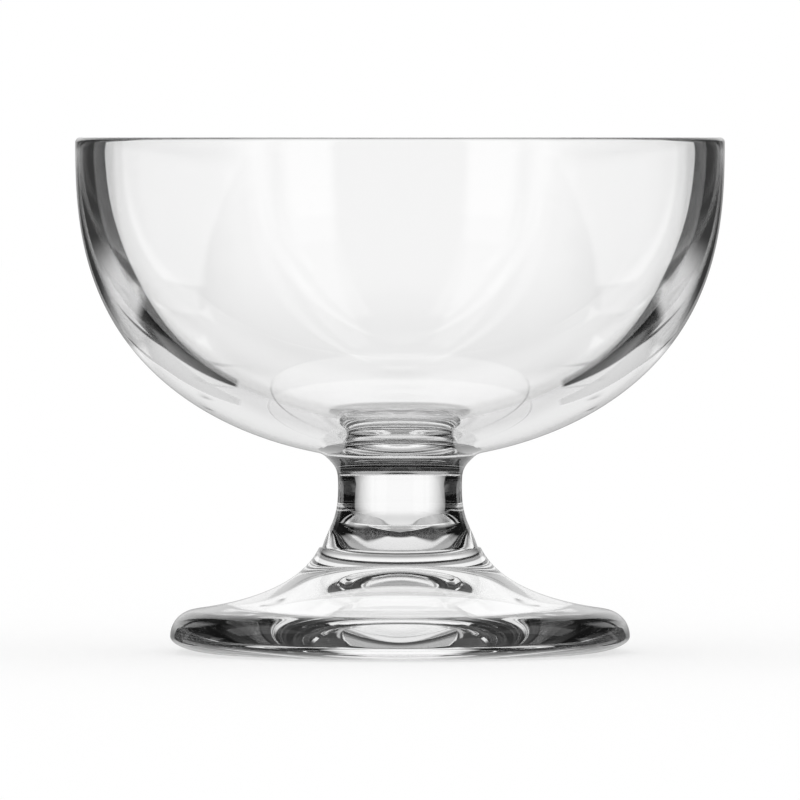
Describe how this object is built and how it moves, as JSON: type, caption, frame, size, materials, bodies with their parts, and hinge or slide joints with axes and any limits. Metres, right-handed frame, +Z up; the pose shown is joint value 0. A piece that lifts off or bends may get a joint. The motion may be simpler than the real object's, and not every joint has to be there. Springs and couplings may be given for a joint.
{
  "type": "parfait glass",
  "caption": "Clear pressed dessert glass: open round bowl with a thick wall on a short waisted stem and a flared foot, hollow underneath, for ice cream, fruit or parfait.",
  "frame": {"origin": "middle of the standing plane, on the axis of the glass", "axes": "+Z up the axis of the glass, towards the rim; X and Y are alike on a turned glass"},
  "size_m": [0.108, 0.108, 0.0856],
  "materials": {
    "glass": "clear soda-lime glass, pressed and fire-polished"
  },
  "bodies": {
    "root": {"bowl": "glass", "stem": "glass", "foot": "glass"}
  },
  "joints": []
}
